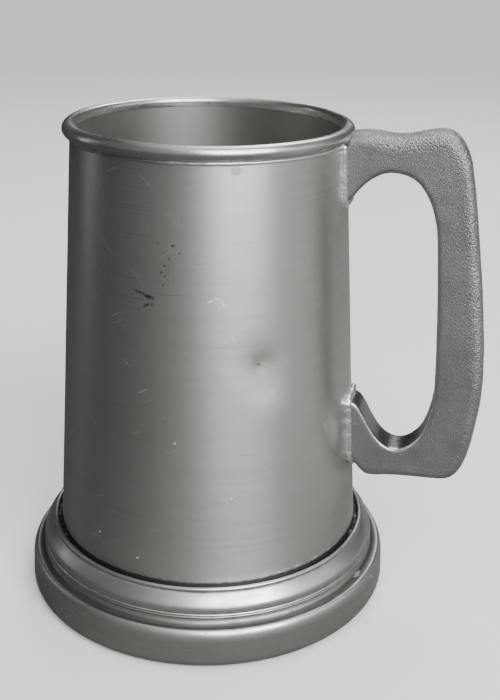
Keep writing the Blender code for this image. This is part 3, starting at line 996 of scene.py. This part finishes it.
def groove_solder(finish):
    """Solder down in the groove at the foot: black with old polish, bright where it stands up."""
    tree, shader = material("groove_metal")
    grain = use(tree, "Cast Grain", Grain_size=0.8 * MM)
    glints = patchy(tree, 2, 0.34)
    wear = use(tree, "Edge Wear", Reach=0.06)
    base = coated(
        tree, finish.dirt, (glints, 1.0, finish.solder), (wear["Hollow"], 0.70, finish.dirt)
    )
    rough = shifted(tree, 0.60, (glints, -0.32))
    surface(tree, shader, base, rough, bump(tree, grain["Height"], 0.12))


# ---------------------------------------------------------------------------------------------
# Pieces


class TANKARD_OT_finishes(bpy.types.Operator):
    """Build the shared node groups and every metal"""

    bl_idname = "tankard.finishes"
    bl_label = "Finishes"

    def execute(self, context):
        finish = context.scene.tankard_finish
        for build in (turned_lines, tarnish, pits, mark, scratches, edge_wear, dust, cast_grain):
            build()
        polish = finish.polish_roughness
        brushed_pewter(finish)
        bore_pewter(finish)
        polished_pewter("rim_metal", finish, 3.2, polish, 0.03, 0.40)
        polished_pewter("foot_metal", finish, 2.4, polish + 0.04, 0.05, 0.50)
        satin_pewter(finish)
        cast_pewter(finish)
        bright_solder(finish)
        rim_solder(finish)
        groove_solder(finish)
        return {"FINISHED"}


# Knocks in the barrel: angle round the axis from the handle, level in millimetres, and how deep
# and how wide each is beside the sizes that a user can change
KNOCKS = [
    (-55.0, 78.9, 1.00, 1.00),
    (-56.3, 78.8, 0.45, 0.26),
    (-98.5, 96.2, 0.12, 0.40),
    (64.0, 70.0, 0.35, 1.10),
    (150.0, 46.0, 0.25, 0.80),
]


class TANKARD_OT_barrel(bpy.types.Operator):
    """Make the tapered barrel, with its knocks, and give its sheet a thickness"""

    bl_idname = "tankard.barrel"
    bl_label = "Barrel"

    def execute(self, context):
        sizes = context.scene.tankard_sizes
        deselect()
        bpy.ops.mesh.primitive_cone_add(
            vertices=sizes.sides,
            radius1=BARREL_OUTER_LOW,
            radius2=BARREL_OUTER_HIGH,
            depth=BARREL_HIGH.z - BARREL_LOW.z,
            end_fill_type="NOTHING",
            location=(AXIS_X, 0, (BARREL_LOW.z + BARREL_HIGH.z) / 2),
        )
        barrel = named(bpy.context.object, "turned_barrel")
        points = barrel.data.vertices

        def upright(side):
            low, high = (points[i].co.z for i in side.vertices)
            return abs(high - low) > MM

        pick(barrel, upright, "EDGE")
        bpy.ops.mesh.subdivide(number_cuts=sizes.barrel_rows)
        done_editing()
        for azimuth, level, depth, spread in KNOCKS:
            knock(
                barrel, azimuth, level * MM, sizes.dent_depth * depth, sizes.dent_spread * spread
            )
        lumpy(barrel, "sheet_unevenness", 24 * MM, 1, 0.10 * MM)
        coat(barrel, "barrel_metal", "bore_metal")
        modify(
            barrel, "SOLIDIFY", thickness=sizes.wall, offset=-1.0, use_even_offset=True,
            material_offset=1,
        )
        finish_off(barrel, 40, "brushed_pewter", "barrel")
        return {"FINISHED"}


class TANKARD_OT_rim(bpy.types.Operator):
    """Make the round bead that caps the barrel's top edge"""

    bl_idname = "tankard.rim"
    bl_label = "Rim bead"

    def execute(self, context):
        sizes = context.scene.tankard_sizes
        radius = sizes.bead / 2
        middle = BEAD_HIGH.z - radius
        centre = BEAD_RADIUS_OUT - radius
        inner = bore_radius(BARREL_HIGH.z)
        touch = barrel_radius(BEAD_LOW.z)
        skirt = math.degrees(math.acos((touch - centre) / radius))
        outside = arc((centre, middle), radius, radius, -skirt, 90, 30)
        crown = (centre, BEAD_HIGH.z - sizes.bead_inner_drop)
        inside = arc(crown, centre - inner, sizes.bead_inner_drop, 90, 180, 14)
        outline = [*outside, *inside[1:], (inner, BARREL_HIGH.z), (touch, BARREL_HIGH.z)]
        rim = turned("rim_moulding", outline, sizes.sides)
        lumpy(rim, "rim_unevenness", 12 * MM, 1, 0.10 * MM)
        coat(rim, "rim_metal")
        finish_off(rim, 40, "polished_rim", "rim_bead")
        return {"FINISHED"}


class TANKARD_OT_foot(bpy.types.Operator):
    """Make the hollow moulded foot"""

    bl_idname = "tankard.foot"
    bl_label = "Foot"

    def outline(self, sizes):
        """The foot's section: the moulded outside from the hem up, then the plain inside."""
        top = FOOT_HIGH.z
        lip_base = top - sizes.lip
        neck_base = lip_base - sizes.neck_height
        ovolo_base = neck_base - sizes.ovolo_height
        line_base = ovolo_base - sizes.astragal_height
        widest = FOOT_RADIUS
        arris = widest - sizes.band_bulge
        shelf = arris - sizes.shelf
        cove = shelf - sizes.cove_run
        ovolo_top = cove - sizes.ovolo_run
        wall = sizes.foot_wall
        turn = sizes.base_rounding
        shoulder = sizes.band_shoulder
        band_top = sizes.band_height
        lean = 0.15 * sizes.band_bulge
        face = widest - lean
        round_over = face - arris + sizes.shelf / 2
        half_line = sizes.astragal_height / 4
        proud = sizes.astragal_proud
        swell = sizes.ovolo_round
        half_lip = sizes.lip / 2
        lip_centre = LIP_INNER + half_lip
        nick = 0.05 * MM

        outside = [
            *arc((widest - turn, turn), turn, turn, -90, 0, 12),
            (face, band_top - shoulder),
            *arc((face - round_over, band_top - shoulder), round_over, shoulder, 6, 84, 14),
            *arc((shelf, line_base), sizes.cove_run, sizes.cove_height, 270, 180, 12),
            *arc((cove, line_base + half_line), proud, half_line, -80, 70, 8),
            *arc((cove, line_base + 3 * half_line), proud, half_line, -70, 80, 8),
            *arc((cove - swell, ovolo_base + sizes.ovolo_foot), swell, swell, 0, 40, 12),
            (ovolo_top, neck_base),
            (lip_centre + 0.7 * half_lip, lip_base + nick),
            *arc((lip_centre, top - half_lip), half_lip, half_lip, -20, 180, 16),
        ]
        inside = [
            (LIP_INNER, neck_base - wall),
            (cove - wall, ovolo_base - wall),
            (cove - wall, band_top - wall),
            (arris - wall, band_top - wall),
            (widest - wall, turn),
            (widest - turn, wall),
            (HEM_INNER, wall),
        ]
        return [(HEM_INNER, 0.0), *outside, *inside]

    def execute(self, context):
        sizes = context.scene.tankard_sizes
        foot = turned("moulded_foot", self.outline(sizes), sizes.sides)
        cove_out = FOOT_RADIUS - sizes.band_bulge
        cove_in = cove_out - sizes.shelf - sizes.cove_run
        fade = 0.6 * MM
        low = sizes.band_height - 1.5 * MM
        high = sizes.band_height + sizes.cove_height + MM

        def in_cove(point, normal):
            out = from_barrel_axis(point)
            inside = min(out - cove_in, cove_out - out) / fade
            return min(inside, 1.0) if low < point.z < high else 0.0

        # darker in the cove and on the shelf
        paint(foot, "grime", in_cove)
        coat(foot, "foot_metal")
        finish_off(foot, 35, "polished_foot", "foot")
        return {"FINISHED"}


class TANKARD_OT_floor(bpy.types.Operator):
    """Make the pressed floor plate that closes the barrel"""

    bl_idname = "tankard.floor"
    bl_label = "Floor plate"

    def execute(self, context):
        sizes = context.scene.tankard_sizes
        low = PLATE_LOW.z
        top = PLATE_HIGH.z
        under = top - sizes.plate
        turn = sizes.plate_rounding
        shoulder = top - turn
        outer = bore_radius(shoulder) - SNUG
        inner = outer - sizes.plate
        flange = bore_radius(low) - SNUG
        corner = 0.5 * MM
        dish = 0.25 * MM
        outline = [
            (0.0, under),
            (inner - corner, under),
            (inner, under - corner),
            (flange - sizes.plate, low),
            (flange, low),
            *arc((outer - turn, shoulder), turn, turn, 0, 90, 8),
            (0.6 * outer, top),
            (0.0, top - dish),
        ]
        plate = turned("pressed_floor", outline, sizes.sides)
        coat(plate, "plate_metal")
        finish_off(plate, 35, "satin_pewter", "floor_plate")
        return {"FINISHED"}


class TANKARD_OT_handle(bpy.types.Operator):
    """Make the cast handle, with a pebbled outer edge and a filed inner one"""

    bl_idname = "tankard.handle"
    bl_label = "Handle"

    def close_ends(self, handle):
        """Pushes the two cut ends in against the barrel and the bead."""
        touching = 0.45 * MM
        under_bead = 4.5 * MM
        push = 0.6 * MM
        drag = 0.8 * MM

        def cut_end(vert):
            out = from_barrel_axis(vert.co)
            barrel = barrel_radius(vert.co.z)
            near = out < max(barrel, BEAD_RADIUS_OUT) + touching and out < barrel + under_bead
            return near and vert.normal.x < -0.35

        pick(handle, cut_end)
        bpy.ops.transform.translate(
            value=(-push, 0, 0),
            use_proportional_edit=True,
            proportional_edit_falloff="SHARP",
            proportional_size=drag,
            use_proportional_connected=True,
        )
        done_editing()

    def execute(self, context):
        sizes = context.scene.tankard_sizes
        handle = copied("handle", "cast_handle")
        modify(handle, "REMESH", mode="VOXEL", voxel_size=sizes.cast_grain)
        modify(handle, "SMOOTH", factor=0.5, iterations=6)
        self.close_ends(handle)
        finger_room = 10 * MM
        middle = Vector((AXIS_X + barrel_radius(HANDLE_LOW.z) + finger_room, 0, 0))
        middle.z = (HANDLE_LOW.z + HANDLE_HIGH.z) / 2
        edge_reach = 4.0 * MM

        def outward(point, normal):
            """How far a surface faces away from the finger hole's middle, up to 1."""
            away = point - middle
            away.y = 0
            return normal.dot(away.normalized())

        def clear_of_barrel(point):
            """0 at the handle's ends, and 1 from 9 mm out."""
            clear = point.x - AXIS_X - barrel_radius(point.z) - 3 * MM
            return min(max(clear / (6 * MM), 0), 1)

        def outer_edge(point, normal):
            return max(outward(point, normal), 0) * clear_of_barrel(point)

        points = handle.data.vertices
        edge = [vert.co for vert in points if outer_edge(vert.co, vert.normal) > 0.6]
        nearest = kdtree.KDTree(len(edge))
        for i, point in enumerate(edge):
            nearest.insert(point, i)
        nearest.balance()

        def pebbling(point, normal):
            near = 1 - nearest.find(point)[2] / edge_reach
            high = (point.z - HANDLE_LOW.z) / (HANDLE_HIGH.z - HANDLE_LOW.z)
            return max(near, 0.0) ** 1.2 * clear_of_barrel(point) * (0.3 + 0.7 * high)

        weigh(handle, "pebbles", outer_edge)
        lumpy(handle, "pebbles", 0.7 * MM, 2, sizes.grain_depth, vertex_group="pebbles")
        lumpy(handle, "casting", 7 * MM, 1, 0.18 * MM)
        handle.vertex_groups.clear()
        paint(handle, "pebbled", pebbling)
        paint(handle, "filed", lambda point, normal: -1.3 * outward(point, normal))
        coat(handle, "handle_metal")
        finish_off(handle, 60, "cast_pewter", "handle")
        return {"FINISHED"}


class TANKARD_OT_handle_seams(bpy.types.Operator):
    """Make the solder round each end of the handle"""

    bl_idname = "tankard.handle_seams"
    bl_label = "Handle seams"

    def execute(self, context):
        sizes = context.scene.tankard_sizes
        for end in ("upper", "lower"):
            node = "handle_" + end + "_solder"
            seam = copied(node, end + "_seam")
            modify(seam, "REMESH", mode="VOXEL", voxel_size=sizes.solder_grain)
            modify(seam, "DISPLACE", strength=0.44 * MM, mid_level=0.0)
            lumpy(seam, end + "_lumps", 1.5 * MM, 3, sizes.solder_lumps * 1.5)
            modify(seam, "SMOOTH", factor=0.5, iterations=2)
            coat(seam, "seam_metal")
            finish_off(seam, 60, "solder", node)
        return {"FINISHED"}


class TANKARD_OT_ring_seams(bpy.types.Operator):
    """Make the three rings of solder: under the bead, in the foot's groove, and underneath"""

    bl_idname = "tankard.ring_seams"
    bl_label = "Ring seams"

    def fillet(self, sizes):
        """A thin round bead of solder, tucked up under the rim's bead."""
        radius = sizes.rim_solder / 2
        tucked_up = 0.3 * MM
        out = barrel_radius(FILLET_TOP) + 0.1 * MM
        back = out - 0.25 * MM
        outline = arc((out, FILLET_TOP + tucked_up - radius), radius, radius * 1.3, -90, 90, 8)
        outline += [(back, outline[-1][1]), (back, outline[0][1])]
        half_gap = HANDLE_HIGH.y + MM
        leave_out = 2 * math.asin(half_gap / out)
        return turned("fillet_seam", outline, sizes.sides * 2, leave_out=leave_out)

    def groove(self, sizes):
        """Solder that fills the groove, and sinks a little along its middle."""
        low = GROOVE_LOW.z
        high = GROOVE_HIGH.z
        inner = barrel_radius(high)
        sink = 0.3 * MM
        outline = [
            (barrel_radius(low) - BITE, low),
            (LIP_INNER + BITE, low),
            (LIP_INNER + BITE, high),
            *arc(((inner + LIP_INNER) / 2, high), (LIP_INNER - inner) / 2, -sink, 0, 180, 6),
            (inner - BITE, high),
        ]
        return turned("groove_seam", outline, sizes.sides * 2)

    def base_ring(self, sizes):
        """The slanting ring of solder between the foot's hem and the bore."""
        low = BASE_RING_LOW.z
        high = BASE_RING_HIGH.z
        outer = bore_radius(high) - SNUG
        low_width = 1.1 * MM
        high_width = 1.2 * MM
        outline = [
            (HEM_INNER - low_width, low),
            (HEM_INNER - SNUG, low),
            (outer, high),
            (outer - high_width, high),
        ]
        return turned("base_seam", outline, sizes.sides)

    def execute(self, context):
        sizes = context.scene.tankard_sizes
        # Each ring's metal, slot and frame piece, and how deep and how long its lumps are
        rings = [
            (self.fillet(sizes), "fillet_metal", "solder", "rim_solder", 0.40, 3.6),
            (self.groove(sizes), "groove_metal", "groove_solder", "foot_solder", 0.30, 1.4),
            (self.base_ring(sizes), "seam_metal", "solder", "base_solder", 0.25, 3.0),
        ]
        for ring, metal_name, slot, node, depth, lump_size in rings:
            lumpy(ring, ring.name, lump_size * MM, 2, depth * MM)
            coat(ring, metal_name)
            finish_off(ring, 60, slot, node)
        return {"FINISHED"}


# Soft lights: the setting that holds each one's power, its angle round the axis from the handle,
# its angle above level, and its distance, width and height in metres
LIGHTS = [
    ("key", -50, 36, 1.1, 0.80, 0.78),
    ("side", 2, 20, 1.2, 0.7, 0.6),
    ("top", -60, 84, 1.3, 1.1, 1.1),
    ("rear", 84, 54, 1.2, 0.6, 0.7),
    ("strip", 179, 16, 0.7, 0.04, 0.4),
]
BLACK = (0.0, 0.0, 0.0)


class TANKARD_OT_studio(bpy.types.Operator):
    """Lay the pale floor, hang the soft lights and set the camera"""

    bl_idname = "tankard.studio"
    bl_label = "Studio"

    def floor(self, studio):
        """The floor: shaded by side and distance where the metal mirrors it, and lost in the
        backdrop far off."""
        deselect()
        bpy.ops.mesh.primitive_plane_add(size=studio.floor_size, location=(AXIS_X, 0, -SNUG))
        floor = named(bpy.context.object, "studio_floor")
        tree, shader = material("studio_floor", metallic=0.0)
        shader["Roughness"].default_value = 0.9
        shader["Specular IOR Level"].default_value = 0.2
        shader["Emission Strength"].default_value = 1.0
        mirrored = put(tree, "LightPath").outputs["Is Glossy Ray"]
        point = from_axis(tree)
        far = vector(tree, "LENGTH", point)
        way = vector(tree, "NORMALIZE", point)
        lit_side = ramp(tree, vector(tree, "DOT_PRODUCT", way, (0.87, -0.5, 0.0)), -0.6, 0.6)
        right = ramp(tree, vector(tree, "DOT_PRODUCT", way, (0.82, 0.57, 0.0)), 0.35, 0.9)
        close = times(tree, lit_side, ramp(tree, far, 0.16, 0.08))
        beyond = times(tree, right, ramp(tree, far, 0.085, 0.15))
        amount = shifted(tree, 0.5, (lit_side, 0.5), (close, 0.6), (beyond, 2.2))
        shaded = blend(tree, times(tree, amount, studio.floor_in_metal), BLACK, studio.floor)
        away = ramp(tree, far, 0.5, 1.5)
        lit = blend(tree, away, studio.floor, BLACK)
        tree.links.new(blend(tree, mirrored, lit, shaded), shader["Base Color"])
        unmirrored = times(tree, away, minus(tree, 1.0, mirrored))
        tree.links.new(blend(tree, unmirrored, BLACK, studio.backdrop), shader["Emission Color"])
        coat(floor, "studio_floor")

    def room(self, studio):
        """The room: plain to the eye, and in the metal a soft glow from the front right."""
        world = bpy.data.worlds.new("studio_room")
        bpy.context.scene.world = world
        world.use_nodes = True
        tree = world.node_tree
        mirrored = put(tree, "LightPath").outputs["Is Glossy Ray"]
        direction = put(tree, "TexCoord").outputs["Generated"]
        bright_way = Vector((0.62, -0.74, 0.25)).normalized()
        dimmest = 0.16
        brightest = 2.2
        facing = vector(tree, "DOT_PRODUCT", direction, bright_way)
        glow = times(tree, ramp(tree, facing, -0.7, 1.0, dimmest, brightest), studio.room)
        tone = put(tree, "CombineColor", {0: glow, 1: glow, 2: glow}).outputs[0]
        seen = blend(tree, mirrored, studio.backdrop, tone)
        tree.links.new(seen, tree.nodes["Background"].inputs["Color"])

    def light(self, name, power, azimuth, elevation, distance, width, height):
        """A soft light, at an angle round the axis from the handle, that faces the barrel."""
        aim = Vector((AXIS_X, 0, BEAD_HIGH.z / 2))
        turn = math.radians(azimuth)
        rise = math.radians(elevation)
        way = Vector(
            (math.cos(turn) * math.cos(rise), math.sin(turn) * math.cos(rise), math.sin(rise))
        )
        bpy.ops.object.light_add(
            type="AREA",
            location=aim + way * distance,
            rotation=way.to_track_quat("Z", "Y").to_euler(),
        )
        lamp = bpy.context.object
        lamp.name = name
        lamp.data.shape = "RECTANGLE"
        lamp.data.size = width
        lamp.data.size_y = height
        lamp.data.energy = power

    def camera(self, studio):
        turn = studio.camera_turn
        reach = studio.camera_reach
        stand = (AXIS_X + reach * math.sin(turn), -reach * math.cos(turn), studio.camera_height)
        bearing = (
            Matrix.Rotation(studio.camera_heading, 3, "Z")
            @ Matrix.Rotation(studio.camera_tilt, 3, "X")
            @ Matrix.Rotation(studio.camera_roll, 3, "Z")
        )
        bpy.ops.object.camera_add(location=stand, rotation=bearing.to_euler())
        camera = bpy.context.object
        camera.name = "studio_camera"
        camera.data.lens = studio.lens
        camera.data.clip_start = 10 * MM
        bpy.context.scene.camera = camera

    def execute(self, context):
        studio = context.scene.tankard_studio
        self.floor(studio)
        self.room(studio)
        for name, *setting in LIGHTS:
            self.light(name + "_light", getattr(studio, name), *setting)
        self.camera(studio)
        return {"FINISHED"}


class TANKARD_PT_panel(bpy.types.Panel):
    """Sizes, finishes, studio and the steps that build the tankard"""

    bl_idname = "TANKARD_PT_panel"
    bl_label = "Pewter Tankard"
    bl_space_type = "VIEW_3D"
    bl_region_type = "UI"
    bl_category = "Tankard"

    def draw(self, context):
        scene = context.scene
        for title, settings in (
            ("Sizes", scene.tankard_sizes),
            ("Finish", scene.tankard_finish),
            ("Studio", scene.tankard_studio),
        ):
            box = self.layout.box()
            box.label(text=title)
            for key in settings.__annotations__:
                box.prop(settings, key)
        for step in STEPS:
            self.layout.operator(step.bl_idname)


STEPS = [
    TANKARD_OT_finishes,
    TANKARD_OT_barrel,
    TANKARD_OT_rim,
    TANKARD_OT_foot,
    TANKARD_OT_floor,
    TANKARD_OT_handle,
    TANKARD_OT_handle_seams,
    TANKARD_OT_ring_seams,
    TANKARD_OT_studio,
]
SETTINGS = {
    "tankard_sizes": TankardSizes,
    "tankard_finish": TankardFinish,
    "tankard_studio": TankardStudio,
}
CLASSES = [*SETTINGS.values(), *STEPS, TANKARD_PT_panel]


def register():
    for made in CLASSES:
        bpy.utils.register_class(made)
    for name, settings in SETTINGS.items():
        setattr(bpy.types.Scene, name, bpy.props.PointerProperty(type=settings))


def unregister():
    for name in SETTINGS:
        delattr(bpy.types.Scene, name)
    for made in reversed(CLASSES):
        bpy.utils.unregister_class(made)


def main():
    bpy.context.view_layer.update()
    register()
    for step in STEPS:
        family, action = step.bl_idname.split(".")
        getattr(getattr(bpy.ops, family), action)()


if __name__ == "__main__":
    main()
